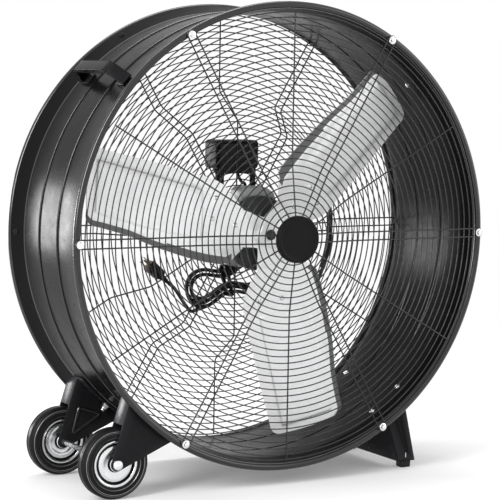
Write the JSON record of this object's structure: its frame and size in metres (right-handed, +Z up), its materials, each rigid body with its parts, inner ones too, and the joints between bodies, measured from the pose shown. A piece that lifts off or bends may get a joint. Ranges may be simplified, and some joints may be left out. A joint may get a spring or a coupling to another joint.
{
  "type": "drum fan",
  "caption": "Portable drum fan with a flared steel drum, wire guards front and rear, stamped blades on a direct-drive motor, bar handles, two wheels and a folded leg.",
  "frame": {"origin": "on the ground, under the middle of the drum and of the fan's depth", "axes": "+Z up, -Y the way the air leaves the front guard, +X to the right of the fan seen from the front, where the leg is; the wheels are at -X"},
  "size_m": [1, 0.392, 1.033],
  "materials": {
    "black_paint": "satin black enamel",
    "guard_wire": "black powder coat",
    "chrome": "bright plated",
    "blade_aluminium": "bright mill finish",
    "zinc_plate": "zinc plated",
    "motor_paint": "dark grey enamel",
    "cast_motor": "painted casting",
    "black_plastic": "fine grain",
    "tyre_rubber": "plain tread",
    "rubber": "matte",
    "brass": "bright"
  },
  "bodies": {
    "frame": {"drum_shell": "black_paint", "front_grille": "guard_wire", "rear_grille": "guard_wire", "front_hub_cap": "black_plastic", "motor_body": "motor_paint", "motor_front_bell": "cast_motor", "motor_plate": "black_paint", "rear_plate": "black_paint", "control_box": "black_plastic", "control_lid": "black_plastic", "motor_lead": "rubber", "cord_gland": "rubber", "cord_run": "rubber", "cord_hank": "rubber", "cord_tie": "black_plastic", "cord_tail": "rubber", "plug_body": "rubber", "plug_pins": "brass", "handle_left": "black_paint", "handle_right": "black_paint", "leg_right": "black_paint", "axle": "zinc_plate", "front_screw_1": "chrome", "rear_screw_1": "black_paint", "front_screw_2": "chrome", "rear_screw_2": "black_paint", "front_screw_3": "chrome", "rear_screw_3": "black_paint", "front_screw_4": "chrome", "rear_screw_4": "black_paint", "front_screw_5": "chrome", "rear_screw_5": "black_paint", "front_screw_6": "chrome", "rear_screw_6": "black_paint", "handle_bolt_1": "chrome", "leg_bolt_1": "chrome", "handle_bolt_2": "chrome", "leg_bolt_2": "chrome", "handle_bolt_3": "chrome", "leg_bolt_3": "chrome", "handle_bolt_4": "chrome", "leg_bolt_4": "chrome", "wheel_fork_front": "black_paint", "fork_bolt_front": "zinc_plate", "axle_cap_front": "chrome", "foot_front": "rubber", "wheel_fork_rear": "black_paint", "fork_bolt_rear": "zinc_plate", "axle_cap_rear": "chrome", "foot_rear": "rubber"},
    "rotor": {"hub_spider": "blade_aluminium", "shaft_nut": "cast_motor", "blade_1": "blade_aluminium", "blade_2": "blade_aluminium", "blade_3": "blade_aluminium"},
    "wheel_front": {"tyre_front": "tyre_rubber", "wheel_disc_front": "zinc_plate"},
    "wheel_rear": {"tyre_rear": "tyre_rubber", "wheel_disc_rear": "zinc_plate"},
    "knob": {"speed_knob": "black_plastic"}
  },
  "joints": [
    {"name": "fan_spin", "type": "hinge", "parent": "frame", "child": "rotor", "pos_m": [0, -0.06698, 0.533], "axis": [0, 1, 0], "continuous": true},
    {"name": "wheel_front_spin", "type": "hinge", "parent": "frame", "child": "wheel_front", "pos_m": [-0.39, -0.11598, 0.0745], "axis": [0, 1, 0], "continuous": true},
    {"name": "wheel_rear_spin", "type": "hinge", "parent": "frame", "child": "wheel_rear", "pos_m": [-0.39, 0.15402, 0.0745], "axis": [0, 1, 0], "continuous": true},
    {"name": "speed_knob_turn", "type": "hinge", "parent": "frame", "child": "knob", "pos_m": [0.003, 0.14402, 0.699], "axis": [0, 1, 0], "range_deg": [0, 120]}
  ]
}
